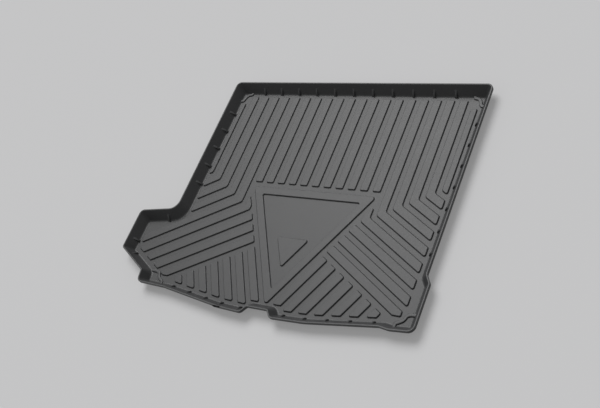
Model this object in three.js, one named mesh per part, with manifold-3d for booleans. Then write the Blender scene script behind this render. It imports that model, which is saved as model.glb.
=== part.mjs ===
// Car boot liner: one moulded rubber sheet. A flat floor, a low sloping wall all round with
// a thick lip, an ear at the left and a small one at the right in front of the wheel arches,
// a cut-back for the latch, and a tread of raised ribs round a triangular frame.
// Millimetres, +Z up, +Y to the seat backs, +X to the right. The floor rests on z = 0.

import * as THREE from "three";
import { mergeVertices } from "three/addons/utils/BufferGeometryUtils.js";
import Module from "manifold-3d";

const wasm = await Module();
wasm.setup();

// The floor's plan, up to the foot of the wall, from the middle of the frame's tread.
const FLOOR_RIGHT = 492;
const FLOOR_LEFT = 480.5;
const FLOOR_BACK = 433;
const FLOOR_FRONT = 407.5;
const FRONT_BOW = 180;
const FRONT_BOW_RISE = 4.5;

// The left ear, from its front corner backwards and outwards.
const FRONT_LEFT_OUT = 25.5;
const FRONT_LEFT_BACK = 35.5;
const FRONT_LEFT_TURN = 80.5;
const FRONT_LEFT_FALL = 3;
const STEP_LENGTH = 40;
const STEP_OUT = 31.5;
const EAR_REACH = 159.5;
const EAR_TAPER = 69;
const EAR_SIDE = 115;
const EAR_SLANT = 23;

// The small ear at the right, from the front line backwards.
const SMALL_EAR_REACH = 18;
const SMALL_EAR_FRONT = 36;
const SMALL_EAR_SIDE = 119.5;
const SMALL_EAR_SLANT = 26;
const SMALL_EAR_TURN = 48;
const SMALL_EAR_FALL = 4;
const FRONT_RIGHT_IN = 64;
const FRONT_RIGHT_BACK = 36.5;

// The cut-back for the latch.
const LATCH_X = 2;
const LATCH_WIDTH = 140;
const LATCH_FLAT = 104;
const LATCH_DEPTH = 22.5;

// The sheet and its wall.
const SHEET = 3;
const RIM_TOP = 39;
const WALL_RUN = 24;
const BACK_RUN = 25;
const FRONT_RUN = 22;
const LEFT_FRONT_RUN = 18.5;
const WALL_ACROSS = 4;
const FOOT_EASE = 3.7;
const LIP_WIDTH = 4.6;
const LIP_DROP = 11;
const LIP_SHEET = 2.6;
const LIP_ROOT = 3.4;
const LIP_ROUND = 1.1;

// The tread: ribs with sloping sides, hollow below so that the sheet keeps one thickness.
const RIB_RISE = 4.5;
const RIB_WIDTH = 28;
const RIB_PITCH = 46.9;
const RIB_SLOPE = 2;
const RIB_CORNER = 5;
const BEND_CORNER = 12;
const LEAST_CORNER = 0.3;
const LEAST_SIDE = 8;
const HOLLOW_INSET = 3.28;
const AXIS_X = 1;

// The triangular frame on the pattern's axis, the plate inside it, and the tread round it.
const FRAME_BACK = 37;
const FRAME_TIP_GAP = 0.73205;
const FRAME_BAR = 28;
const FRAME_CORNER = 9;
const PLATE_BACK = -143;
const PLATE_SIDE = 125;
const PLATE_CORNER = 6;

// How far the tread ends short of each wall, and more for some outer ribs.
const RIGHT_MARGIN = 15;
const LEFT_MARGIN = 10.5;
const BACK_MARGIN = 15;
const SHORT_MARGIN = 47;
const EAR_MARGIN = 15;
const FRONT_MARGIN = 15;
const LATCH_MARGIN = 8;
const LAST_RIGHT_MARGIN = 25;
const LAST_FRONT_MARGIN = 31;

// Small webs at the foot of the wall, and the beads that cut off the four corners.
const WEB_WIDTH = 8.5;
const WEB_PITCH = 77.4;
const WEB_END = 12;
const WEB_REACH = 6.5;
const WEB_OUT = 14;
const WEB_RISE = 21;
const BEAD_WIDTH = 11;
const BEAD_TOP = 7;
const BEAD_OUT = 5;

// Corners of the plan that others are measured from.
const frontLeft = { x: -FLOOR_LEFT - FRONT_LEFT_OUT, y: -FLOOR_FRONT + FRONT_LEFT_BACK };
const earStep = { x: -FLOOR_LEFT - STEP_OUT, y: frontLeft.y + STEP_LENGTH };
const earFront = { x: -FLOOR_LEFT - EAR_REACH, y: earStep.y + EAR_TAPER };
const smallEar = { x: FLOOR_RIGHT + SMALL_EAR_REACH, y: -FLOOR_FRONT + SMALL_EAR_FRONT };
const latch = { y: -FLOOR_FRONT + LATCH_DEPTH, half: LATCH_FLAT / 2, wide: LATCH_WIDTH / 2 };
const bowY = -FLOOR_FRONT + FRONT_BOW_RISE;

// The foot of the wall, corner by corner and anticlockwise, on the floor's upper face. A row's
// name is that of its corner and of the side that starts there.
// r is the corner's radius there and rim its radius at the rim, run how far the wall leans out
// on the side that starts here, web how far along that side the first web stands, and webs how
// many there are at most.
const row = (name, x, y, r, rim, run, web = 0, webs = 0) => ({ name, x, y, r, rim, run, web, webs });
const FOOT = [
  row("back", FLOOR_RIGHT, FLOOR_BACK, 5, 15, BACK_RUN, 102, 11),
  row("left", -FLOOR_LEFT, FLOOR_BACK, 5, 15, WALL_RUN, 98, 5),
  row("ear back", -FLOOR_LEFT, earFront.y + EAR_SIDE + EAR_SLANT, 62, 42, BACK_RUN, 66, 1),
  row("ear side", earFront.x, earFront.y + EAR_SIDE, 14, 15, WALL_RUN, 83, 1),
  row("ear front", earFront.x, earFront.y, 12, 9, FRONT_RUN),
  row("ear step", earStep.x, earStep.y, 30, 10, LEFT_FRONT_RUN),
  row("front left corner", frontLeft.x, frontLeft.y, 5, 16, LEFT_FRONT_RUN),
  row("front left", -FLOOR_LEFT + FRONT_LEFT_TURN, frontLeft.y - FRONT_LEFT_FALL, 60, 70,
    LEFT_FRONT_RUN, 15, 3),
  row("front left inner", -FRONT_BOW, bowY, 120, 140, FRONT_RUN, 20, 2),
  row("latch left", LATCH_X - latch.wide, -FLOOR_FRONT, 6, 12, FRONT_RUN),
  row("latch", LATCH_X - latch.half, latch.y, 32, 12, FRONT_RUN),
  row("latch right", LATCH_X + latch.half, latch.y, 32, 12, FRONT_RUN),
  row("front right inner", LATCH_X + latch.wide, -FLOOR_FRONT, 6, 12, FRONT_RUN, 13, 2),
  row("front right", FRONT_BOW, bowY, 120, 140, FRONT_RUN, 60, 3),
  row("front right end", FLOOR_RIGHT - FRONT_RIGHT_IN, -FLOOR_FRONT + FRONT_RIGHT_BACK, 30, 20,
    FRONT_RUN),
  row("small ear front", smallEar.x - SMALL_EAR_TURN, smallEar.y - SMALL_EAR_FALL, 30, 40, FRONT_RUN),
  row("small ear side", smallEar.x, smallEar.y, 5, 18, WALL_RUN),
  row("small ear back", smallEar.x, smallEar.y + SMALL_EAR_SIDE, 8, 14, WALL_RUN),
  row("right", FLOOR_RIGHT, smallEar.y + SMALL_EAR_SIDE + SMALL_EAR_SLANT, 30, 20, WALL_RUN, 88, 7),
];

// Corner beads as steps from the corner of the wall's foot, for the right-hand corners. The one
// at the small ear starts from BEAD_OUT to the right of its corner.
const BACK_BEAD = [[9, -46], [-12, -15], [-46, 9]];
const FRONT_BEAD = [[-58, -9], [-58, 5], [-46, 11], [-34, 19], [-30, 33], [-18, 39], [9, 40]];

const corner = (name) => FOOT.find((from) => from.name === name);
const pastAll = FLOOR_LEFT + FLOOR_RIGHT + EAR_REACH;
const RISE = RIM_TOP - SHEET;
const RIB_TOP = SHEET + RIB_RISE;
const RIB_MIDDLE = SHEET + RIB_RISE / 2;
const CORE = SHEET / 2;

// Moves each side of an outline outwards, rounds its corners and lifts it to a height.
// Corner radii grow with the move on outer corners and shrink on inner ones, unless a rule
// for them is given. Every corner keeps its number of points, so that two loops of one
// outline can be joined.
const grown = (from, bend, push) => from.r + bend * push;
function loop(corners, z, move, degrees, radiusOf = grown) {
  const count = corners.length;
  const sides = corners.map((from, i) => {
    const to = corners[(i + 1) % count];
    const along = new THREE.Vector2(to.x - from.x, to.y - from.y).normalize();
    const outwards = new THREE.Vector2(along.y, -along.x);
    const push = move(from);
    const at = new THREE.Vector2(from.x, from.y).addScaledVector(outwards, push);
    return { along, at, push };
  });
  const points = [];
  corners.forEach((from, i) => {
    const before = sides[(i + count - 1) % count];
    const after = sides[i];
    const turn = Math.atan2(before.along.cross(after.along), before.along.dot(after.along));
    const reach = after.at.clone().sub(before.at).cross(after.along) / Math.sin(turn);
    const tip = before.at.clone().addScaledVector(before.along, reach);
    const bend = Math.sign(turn);
    const wish = radiusOf(from, bend, (before.push + after.push) / 2);
    const radius = Math.max(wish, LEAST_CORNER);
    const start = tip.clone().addScaledVector(before.along, -radius * Math.tan(Math.abs(turn) / 2));
    const inwards = new THREE.Vector2(-before.along.y, before.along.x);
    const centre = start.clone().addScaledVector(inwards, bend * radius);
    const steps = Math.max(1, Math.round(Math.abs(turn) / THREE.MathUtils.degToRad(degrees)));
    for (let step = 0; step <= steps; step += 1) {
      const point = start.clone().rotateAround(centre, (turn * step) / steps);
      points.push(new THREE.Vector3(point.x, point.y, z));
    }
  });
  return points;
}

// A closed surface through loops that run anticlockwise, the first facing up, the last down.
function loft(loops) {
  const size = loops[0].length;
  const faces = [];
  const cap = (points) => THREE.ShapeUtils.triangulateShape(
    points.map((p) => new THREE.Vector2(p.x, p.y)), []);
  cap(loops[0]).forEach(([a, b, c]) => faces.push(a, b, c));
  for (let ring = 0; ring + 1 < loops.length; ring += 1) {
    for (let i = 0; i < size; i += 1) {
      const a = ring * size + i;
      const b = ring * size + ((i + 1) % size);
      faces.push(a, a + size, b, b, a + size, b + size);
    }
  }
  const last = (loops.length - 1) * size;
  cap(loops[loops.length - 1]).forEach(([a, b, c]) => faces.push(last + a, last + c, last + b));
  const geometry = new THREE.BufferGeometry().setFromPoints(loops.flat());
  geometry.setIndex(faces);
  return geometry;
}

// A solid body from a closed geometry.
function solid(geometry) {
  const bare = geometry.clone();
  bare.deleteAttribute("normal");
  bare.deleteAttribute("uv");
  const merged = mergeVertices(bare, 1e-4);
  return new wasm.Manifold(new wasm.Mesh({
    numProp: 3,
    vertProperties: new Float32Array(merged.attributes.position.array),
    triVerts: new Uint32Array(merged.index.array),
  }));
}

// The half-plane inside a side of the wall's foot, set in from it.
function insideOf(name, margin) {
  const a = corner(name);
  const b = FOOT[(FOOT.indexOf(a) + 1) % FOOT.length];
  const along = new THREE.Vector2(b.x - a.x, b.y - a.y).normalize();
  const inwards = new THREE.Vector2(-along.y, along.x);
  return { inwards, least: inwards.x * a.x + inwards.y * a.y + margin };
}

const backwards = (y) => ({ inwards: new THREE.Vector2(0, 1), least: y });

// Cuts an outline back to a half-plane.
function cutBack(points, plane) {
  const depth = (p) => plane.inwards.dot(p) - plane.least;
  const kept = [];
  points.forEach((p, i) => {
    const q = points[(i + 1) % points.length];
    const here = depth(p);
    const there = depth(q);
    if (here >= 0) kept.push(p);
    if (here * there < 0) kept.push(p.clone().lerp(q, here / (here - there)));
  });
  return kept;
}

// Closes up each side that is too short for its two corners: both ends go to its middle.
function closeUp(points) {
  const after = (i) => points[(i + 1) % points.length];
  const short = points.findIndex((p, i) => p.distanceTo(after(i)) < LEAST_SIDE);
  if (short < 0 || points.length < 3) return points;
  const middle = points[short].clone().lerp(after(short), 0.5);
  const gone = after(short);
  return closeUp(points.map((p, i) => (i === short ? middle : p)).filter((p) => p !== gone));
}

// Gives each corner of an outline its radius, less where a short side leaves no room.
function soften(points, radius) {
  const count = points.length;
  return points.map((p, i) => {
    const before = p.clone().sub(points[(i + count - 1) % count]);
    const after = points[(i + 1) % count].clone().sub(p);
    const turn = Math.abs(Math.atan2(before.cross(after), before.dot(after)));
    const room = (0.42 * Math.min(before.length(), after.length())) / Math.tan(turn / 2);
    const wish = p.bend ? BEND_CORNER : radius;
    return { x: p.x, y: p.y, r: Math.min(wish, room) };
  });
}

// A raised form with sloping sides, and the hollow below it.
function rib(corners) {
  const slope = (z) => ((RIB_MIDDLE - z) * RIB_SLOPE) / RIB_RISE;
  const at = (z, inset) => loop(corners, z, () => slope(z) - inset, 31);
  return {
    body: solid(loft([at(RIB_TOP, 0), at(CORE, 0)])),
    hollow: solid(loft([at(RIB_TOP - SHEET, HOLLOW_INSET), at(-1, HOLLOW_INSET)])),
  };
}

// The two directions of the slanting tread on the right: across it runs from the frame's
// side, and upon it runs from the frame's tip. Their lines meet in a point.
const SLANT = THREE.MathUtils.degToRad(30);
const across = new THREE.Vector2(Math.cos(SLANT), -Math.sin(SLANT));
const upon = new THREE.Vector2(Math.sin(SLANT), Math.cos(SLANT));

function meet(s, t) {
  return new THREE.Vector2(AXIS_X, 0).addScaledVector(across, s).addScaledVector(upon, t);
}

function onUpon(x, t) {
  return new THREE.Vector2(x, (t - (x - AXIS_X) * upon.x) / upon.y);
}

const mirrored = (points) => points
  .map((p) => Object.assign(new THREE.Vector2(2 * AXIS_X - p.x, p.y), { bend: p.bend }))
  .reverse();

const FRAME_GAP = RIB_PITCH - RIB_WIDTH;
const FRAME_OUT = (-latch.y - FRAME_TIP_GAP) * upon.x;
const FIRST_INNER = FRAME_OUT + FRAME_GAP;
const FIRST_RIGHT = 249.5;
const FIRST_UPON = 61.9;

// A rib that comes down from the back and bends off along the slant; index 0 is the first.
function bentRib(index, back) {
  const right = FIRST_RIGHT + RIB_PITCH * index;
  const left = right - RIB_WIDTH;
  const low = FIRST_UPON + RIB_PITCH * index;
  const bend = (p) => Object.assign(p, { bend: true });
  return [
    new THREE.Vector2(left, back),
    bend(onUpon(left, low)),
    onUpon(pastAll, low),
    onUpon(pastAll, low + RIB_WIDTH),
    bend(onUpon(right, low + RIB_WIDTH)),
    new THREE.Vector2(right, back),
  ];
}

// A rib that only runs along the slant, from the frame outwards.
function slantRib(index) {
  const low = FIRST_UPON + RIB_PITCH * index;
  return [
    meet(FIRST_INNER, low),
    meet(pastAll, low),
    meet(pastAll, low + RIB_WIDTH),
    meet(FIRST_INNER, low + RIB_WIDTH),
  ];
}

// A rib of the fan that runs forwards along the frame's side; index 1 is next to the frame.
function fanRib(index) {
  const right = FRAME_OUT + RIB_PITCH * index;
  const end = FIRST_UPON - 3 * RIB_PITCH - FRAME_GAP;
  return [
    meet(right - RIB_WIDTH, -pastAll),
    meet(right, -pastAll),
    meet(right, end),
    meet(right - RIB_WIDTH, end),
  ];
}

const earEnds = [insideOf("ear side", EAR_MARGIN), insideOf("ear front", EAR_MARGIN)];
const frontLines = ["front left", "front left inner", "front right inner", "front right"]
  .map((name) => insideOf(name, FRONT_MARGIN));
const latchLine = insideOf("latch", LATCH_MARGIN);
const fieldRight = insideOf("right", RIGHT_MARGIN);
const fieldLeft = insideOf("left", LEFT_MARGIN);
const fieldBack = corner("back").y - BACK_MARGIN;
const shortBack = corner("back").y - SHORT_MARGIN;
const lastRight = insideOf("right", LAST_RIGHT_MARGIN);
const lastFront = backwards(corner("front left").y + LAST_FRONT_MARGIN);

const treads = [];
function tread(points, planes) {
  const cut = closeUp(planes.reduce(cutBack, points));
  if (cut.length > 2) treads.push(soften(cut, RIB_CORNER));
}

// Straight ribs behind the frame.
for (let index = 0; index < 11; index += 1) {
  const right = FIRST_RIGHT - RIB_PITCH * index;
  const front = FRAME_BACK + FRAME_GAP;
  tread([
    new THREE.Vector2(right - RIB_WIDTH, front),
    new THREE.Vector2(right, front),
    new THREE.Vector2(right, fieldBack),
    new THREE.Vector2(right - RIB_WIDTH, fieldBack),
  ], []);
}

// Bent ribs. The one nearest the frame is cut to a point beside it, the last one is short.
for (let index = 0; index < 6; index += 1) {
  const back = index === 5 ? shortBack : fieldBack;
  const points = bentRib(index, back);
  const beside = { inwards: across, least: meet(FIRST_INNER, 0).dot(across) };
  const trimmed = index ? points : cutBack(points, beside);
  tread(trimmed, [fieldRight]);
  tread(mirrored(trimmed), index > 1 ? [fieldLeft] : earEnds);
}

// Slanting ribs beside the frame.
for (let index = -1; index > -4; index -= 1) {
  const last = index === -3;
  tread(slantRib(index), last ? [lastRight, lastFront] : [fieldRight]);
  tread(mirrored(slantRib(index)), last ? [earEnds[1], lastFront] : earEnds);
}

// The fan in front.
for (let index = 1; index < 8; index += 1) {
  const ends = index === 1 ? [...frontLines, latchLine] : frontLines;
  tread(fanRib(index), ends);
  tread(mirrored(fanRib(index)), ends);
}

// An equal-sided triangle on the axis with a level back side, from the back side's place
// and the distance of the slanting sides from the axis point.
function triangle(back, side, radius) {
  const right = new THREE.Vector2(AXIS_X + (side - back * across.y) / across.x, back);
  const tip = new THREE.Vector2(AXIS_X, -side / upon.x);
  const left = new THREE.Vector2(2 * AXIS_X - right.x, back);
  return [left, tip, right].map((p) => ({ x: p.x, y: p.y, r: radius }));
}

const frameOutside = triangle(FRAME_BACK, FRAME_OUT, FRAME_CORNER);
const frameInside = triangle(FRAME_BACK - FRAME_BAR, FRAME_OUT - FRAME_BAR, FRAME_CORNER / 2);
const plate = triangle(PLATE_BACK, PLATE_SIDE, PLATE_CORNER);

// One loop of the wall: share of the lean, a step beyond it, and a height.
const wallLoop = ([share, beyond, z]) => loop(
  FOOT,
  z,
  (side) => share * side.run + beyond,
  15,
  (from, bend) => from.r + (from.rim - from.r) * share + bend * beyond,
);
const onWall = (up, beyond) => [up / RISE, beyond, SHEET + up];

const section = [
  [0, -FOOT_EASE, SHEET],
  [0, -0.1 * FOOT_EASE, SHEET + 0.19 * FOOT_EASE],
  onWall(0.75 * FOOT_EASE, 0),
  onWall(RISE - LIP_ROUND, 0),
  [1, 0.4 * LIP_ROUND, RIM_TOP],
  [1, LIP_WIDTH - LIP_ROUND, RIM_TOP],
  [1, LIP_WIDTH, RIM_TOP - LIP_ROUND],
  [1, LIP_WIDTH, RIM_TOP - LIP_DROP],
  [1, LIP_WIDTH - LIP_SHEET, RIM_TOP - LIP_DROP],
  [1, LIP_WIDTH - LIP_SHEET, RIM_TOP - LIP_ROOT],
  onWall(RISE - LIP_ROOT - LIP_SHEET / 2, WALL_ACROSS),
  onWall(0.15 * FOOT_EASE, WALL_ACROSS),
  [0, 0.24 * FOOT_EASE, 0.25 * FOOT_EASE],
  [0, -FOOT_EASE, 0],
];
const pan = solid(loft(section.map(wallLoop)));

// The space inside the sheet's own middle: beads and webs are kept to it.
const inside = solid(loft([
  onWall(RISE, WALL_ACROSS / 2),
  onWall(CORE - SHEET, WALL_ACROSS / 2),
].map(wallLoop)));

// A web: a low wedge across the foot of the wall, leaning out with it.
function web(side, next, length, distance) {
  const lean = side.run / WALL_RUN;
  const wedge = new THREE.Shape([
    new THREE.Vector2(-WEB_REACH, 0),
    new THREE.Vector2(WEB_OUT * lean, 0),
    new THREE.Vector2(WEB_OUT * lean, SHEET + WEB_RISE),
    new THREE.Vector2(-WEB_REACH, SHEET + 0.6),
  ]);
  const geometry = new THREE.ExtrudeGeometry(wedge, { depth: WEB_WIDTH, bevelEnabled: false });
  const angle = Math.atan2(next.y - side.y, next.x - side.x);
  geometry.translate(0, 0, -WEB_WIDTH / 2);
  geometry.rotateX(Math.PI / 2);
  geometry.rotateZ(angle - Math.PI / 2);
  const reach = distance / length;
  geometry.translate(
    side.x + (next.x - side.x) * reach,
    side.y + (next.y - side.y) * reach,
    0,
  );
  return solid(geometry);
}

const extras = [];
FOOT.forEach((side, i) => {
  const next = FOOT[(i + 1) % FOOT.length];
  const length = Math.hypot(next.x - side.x, next.y - side.y);
  const room = 1 + Math.floor((length - WEB_END - side.web) / WEB_PITCH);
  for (let index = 0; index < Math.min(side.webs, room); index += 1) {
    extras.push(web(side, next, length, side.web + WEB_PITCH * index));
  }
});

// A bead of even width along a path of steps from a corner.
function bead(start, steps, flip) {
  const path = steps.map(([x, y]) => new THREE.Vector2(start.x + flip * x, start.y + y));
  const edge = (hand) => path.map((p, i) => {
    const before = path[Math.max(i - 1, 0)];
    const after = path[Math.min(i + 1, path.length - 1)];
    const along = after.clone().sub(before).normalize();
    return new THREE.Vector2(p.x + along.y * hand, p.y - along.x * hand);
  });
  const outline = [...edge(BEAD_WIDTH / 2), ...edge(-BEAD_WIDTH / 2).reverse()];
  const turned = THREE.ShapeUtils.isClockWise(outline) ? outline.reverse() : outline;
  const corners = soften(turned, RIB_CORNER / 2);
  const low = loop(corners, 0, () => 1, 31);
  return solid(loft([loop(corners, BEAD_TOP, () => -1, 31), low]));
}

extras.push(bead(corner("back"), BACK_BEAD, 1));
extras.push(bead(corner("left"), BACK_BEAD, -1));
extras.push(bead({ x: smallEar.x + BEAD_OUT, y: smallEar.y }, FRONT_BEAD, 1));
extras.push(bead(corner("front left corner"), FRONT_BEAD, -1));

// The frame is a bar round an open middle, above and below.
function frame() {
  const outer = rib(frameOutside);
  const slope = (z) => ((z - RIB_MIDDLE) * RIB_SLOPE) / RIB_RISE;
  const hole = (z, inset) => loop(frameInside, z, () => slope(z) + inset, 31);
  const open = solid(loft([hole(RIB_TOP + 1, 0), hole(0, 0)]));
  const island = solid(loft([hole(RIB_TOP, HOLLOW_INSET), hole(-2, HOLLOW_INSET)]));
  return { body: outer.body.subtract(open), hollow: outer.hollow.subtract(island) };
}

const forms = [...treads.map(rib), rib(plate), frame()];
const trimmings = extras.reduce((a, b) => a.add(b)).intersect(inside);
const whole = forms.reduce((sum, form) => sum.add(form.body), pan.add(trimmings));
const liner = forms.reduce((sum, form) => sum.subtract(form.hollow), whole);

const made = liner.getMesh();
const geometry = new THREE.BufferGeometry();
geometry.setAttribute("position", new THREE.BufferAttribute(made.vertProperties, 3));
geometry.setIndex(new THREE.BufferAttribute(made.triVerts, 1));
geometry.computeBoundingBox();
const middle = geometry.boundingBox.getCenter(new THREE.Vector3());
geometry.translate(-middle.x, -middle.y, -geometry.boundingBox.min.z);
geometry.computeVertexNormals();

const rubber = new THREE.MeshStandardMaterial({ color: 0x55565a, roughness: 0.8 });
const mesh = new THREE.Mesh(geometry, rubber);
mesh.name = "liner";

const part = new THREE.Group();
part.name = "boot_liner";
part.add(mesh);

export default part;
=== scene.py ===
# %% [markdown]
# # A rubber boot liner
# The object is one moulded sheet of dark grey rubber: a flat floor with a raised tread, and a
# low wall that leans outwards and ends in a thick lip. This lesson builds its skin as one closed
# mesh, from outlines that are moved outwards and lifted, and then gives it a rubber finish.

import bpy
import numpy as np
from mathutils import Matrix
from mathutils.geometry import delaunay_2d_cdt


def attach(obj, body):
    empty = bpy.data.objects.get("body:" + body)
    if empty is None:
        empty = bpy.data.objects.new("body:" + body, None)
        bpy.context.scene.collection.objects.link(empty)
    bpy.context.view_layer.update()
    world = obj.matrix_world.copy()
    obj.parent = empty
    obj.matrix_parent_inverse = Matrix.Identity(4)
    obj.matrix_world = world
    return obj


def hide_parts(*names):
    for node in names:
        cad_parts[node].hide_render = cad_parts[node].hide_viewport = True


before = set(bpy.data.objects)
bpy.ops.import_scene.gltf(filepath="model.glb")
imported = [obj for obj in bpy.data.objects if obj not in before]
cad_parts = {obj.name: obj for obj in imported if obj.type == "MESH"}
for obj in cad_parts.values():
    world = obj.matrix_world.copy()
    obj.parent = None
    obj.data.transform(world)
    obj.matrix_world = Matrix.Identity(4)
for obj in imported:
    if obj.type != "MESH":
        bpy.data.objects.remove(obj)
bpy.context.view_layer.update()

# %% [markdown]
# ## The camera
# The photograph looks down on the liner from its front right corner, with the camera rolled.
# Lens and place come from the vanishing points of the ribs, so the liner lies flat on the floor
# here and the tilt is all in the camera. The three axes are the columns of its matrix, and the
# view ends well beyond the edge of the pale floor.

# %% Camera
SENSOR_MM = 36.0
LENS_MM = 53.734
CAMERA_AT = (1.7286, -1.1869, 2.1180)
CAMERA_RIGHT = np.array([0.8142, 0.3631, -0.4530])
CAMERA_UP = np.array([-0.0825, 0.8447, 0.5289])
VIEW_END = 200.0


def standing(right, up, back, at=(0.0, 0.0, 0.0)):
    """A matrix whose four columns are the three axes and the place."""
    columns = np.eye(4)
    columns[:3] = np.column_stack([right, up, back, at])
    return Matrix(columns.tolist())


right = CAMERA_RIGHT / np.linalg.norm(CAMERA_RIGHT)
back = np.cross(right, CAMERA_UP)
back = back / np.linalg.norm(back)
lens = bpy.data.cameras.new("camera")
lens.sensor_width = SENSOR_MM
lens.lens = LENS_MM
lens.clip_end = VIEW_END
camera = bpy.data.objects.new("camera", lens)
bpy.context.scene.collection.objects.link(camera)
camera.matrix_world = standing(right, np.cross(back, right), back, CAMERA_AT)
bpy.context.scene.camera = camera
print("camera looks along", (-back).round(3).tolist())

# %% [markdown]
# ## Sizes
# All sizes are in millimetres, in the plan of the tread, whose axis is at x = 1. The mesh is
# moved to the frame's middle and turned into metres only when it is finished. The wall leans
# out by a slightly different amount on each side of the liner.

# %% Sizes of the sheet and the wall
SHEET = 3.0
RIM_TOP = 39.0
RISE = RIM_TOP - SHEET
WALL_RUN = 24.0
BACK_RUN = 25.0
FRONT_RUN = 22.0
LEFT_FRONT_RUN = 18.5
print("the wall rises", RISE, "and leans out by", WALL_RUN)

# %% [markdown]
# ### The foot of the wall
# The wall runs straight along the back, round a long ear on the left and a short one on the
# right, and it is cut back for the latch in front. Each row is one corner of the line where the
# wall leaves the floor, anticlockwise: x, y, the corner's radius there and at the rim, how far
# the wall on the side that starts here leans out, how far along that side its first web stands,
# and how many webs there are. A curve object could hold this line, but a plain list of corners
# can be moved outwards exactly.

# %% The foot of the wall
FOOT = np.array([
    [492.0, 433.0, 5, 15, BACK_RUN, 102, 11],          # back wall
    [-480.5, 433.0, 5, 15, WALL_RUN, 98, 5],           # left wall
    [-480.5, -125.0, 62, 42, BACK_RUN, 66, 1],         # back of the long ear
    [-640.0, -148.0, 14, 15, WALL_RUN, 83, 1],         # end of the long ear
    [-640.0, -263.0, 12, 9, FRONT_RUN, 27, 1],         # front of the long ear
    [-512.0, -332.0, 30, 10, LEFT_FRONT_RUN, 0, 0],    # left wall again
    [-506.0, -372.0, 5, 16, LEFT_FRONT_RUN, 0, 0],     # front left corner
    [-400.0, -375.0, 60, 70, LEFT_FRONT_RUN, 15, 3],   # front wall, slanting
    [-180.0, -403.0, 120, 140, FRONT_RUN, 20, 2],      # front wall up to the latch
    [-68.0, -407.5, 6, 12, FRONT_RUN, 0, 0],           # left side of the cut-back
    [-50.0, -385.0, 32, 12, FRONT_RUN, 0, 0],          # the cut-back
    [54.0, -385.0, 32, 12, FRONT_RUN, 0, 0],           # right side of the cut-back
    [72.0, -407.5, 6, 12, FRONT_RUN, 13, 2],           # front wall from the latch
    [180.0, -403.0, 120, 140, FRONT_RUN, 60, 3],       # front wall, slanting
    [428.0, -371.0, 30, 20, FRONT_RUN, 0, 0],          # start of the short ear
    [462.0, -375.5, 30, 40, FRONT_RUN, 0, 0],          # front of the short ear
    [510.0, -371.5, 5, 18, WALL_RUN, 0, 0],            # end of the short ear
    [510.0, -252.0, 8, 14, WALL_RUN, 0, 0],            # small step
    [492.0, -226.0, 30, 20, WALL_RUN, 88, 7],          # right wall
])
FOOT_RADIUS, RIM_RADIUS, LEAN, FIRST_WEB, WEB_COUNT = 2, 3, 4, 5, 6
BACK_RIGHT, BACK_LEFT, FRONT_LEFT, FRONT_RIGHT = 0, 1, 6, 16
EAR_END, EAR_FRONT, CUT_BACK, CUT_BACK_RIGHT, SMALL_STEP = 3, 4, 10, 11, 17
FRONT_SIDES = (7, 8, 12, 13)
print("corners", len(FOOT), "webs", int(FOOT[:, WEB_COUNT].sum()))

# %% [markdown]
# ## Loops round an outline
# Floor, wall and lip of a moulded tray follow one outline at different distances, so every
# surface of the liner is a stack of loops. A loop is an outline whose sides are moved outwards
# by some distance and whose corners are rounded again. Two loops of one outline have the same
# number of points, so a strip of quads joins them, like the hoops of a barrel. A Bevel modifier
# could round a plain block, but here a corner's radius changes on the way from foot to rim.

# %% Sides and turns
def side_axes(corners):
    """Each side's direction is next corner minus corner; outwards is that turned clockwise."""
    along = np.roll(corners[:, :2], -1, axis=0) - corners[:, :2]
    along = along / np.linalg.norm(along, axis=1, keepdims=True)
    return along, np.stack([along[:, 1], -along[:, 0]], axis=1)


def cross(a, b):
    """The plan's cross product: a's x times b's y, minus a's y times b's x."""
    return a[..., 0] * b[..., 1] - a[..., 1] * b[..., 0]


def corner_turns(corners):
    """The signed angle from the side before a corner to the side after it."""
    along, _ = side_axes(corners)
    before = np.roll(along, 1, axis=0)
    return np.arctan2(cross(before, along), np.sum(before * along, axis=1))


print("the foot turns", round(float(np.degrees(corner_turns(FOOT).sum()))), "degrees in all")


# %% Samples round an outline
WALL_DEGREES = 7.0


def plan_samples(corners, degrees, columns=None):
    """Samples round an outline: shares 0 to 1 of each corner's arc, then distances on its side."""
    steps = np.maximum(1, np.round(np.abs(np.degrees(corner_turns(corners))) / degrees)).astype(int)
    place, share, distance = [], [], []
    for i, count in enumerate(steps):
        place.append(np.full(count + 1, i))
        share.append(np.linspace(0.0, 1.0, count + 1))
        distance.append(np.full(count + 1, np.nan))
        if columns is not None and len(columns[i]):
            place.append(np.full(len(columns[i]), i))
            share.append(np.zeros(len(columns[i])))
            distance.append(columns[i])
    return np.concatenate(place), np.concatenate(share), np.concatenate(distance)


foot_plan = plan_samples(FOOT, WALL_DEGREES)
print("points round the corners", len(foot_plan[0]))

# %% One loop
LEAST_CORNER = 0.25


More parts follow.
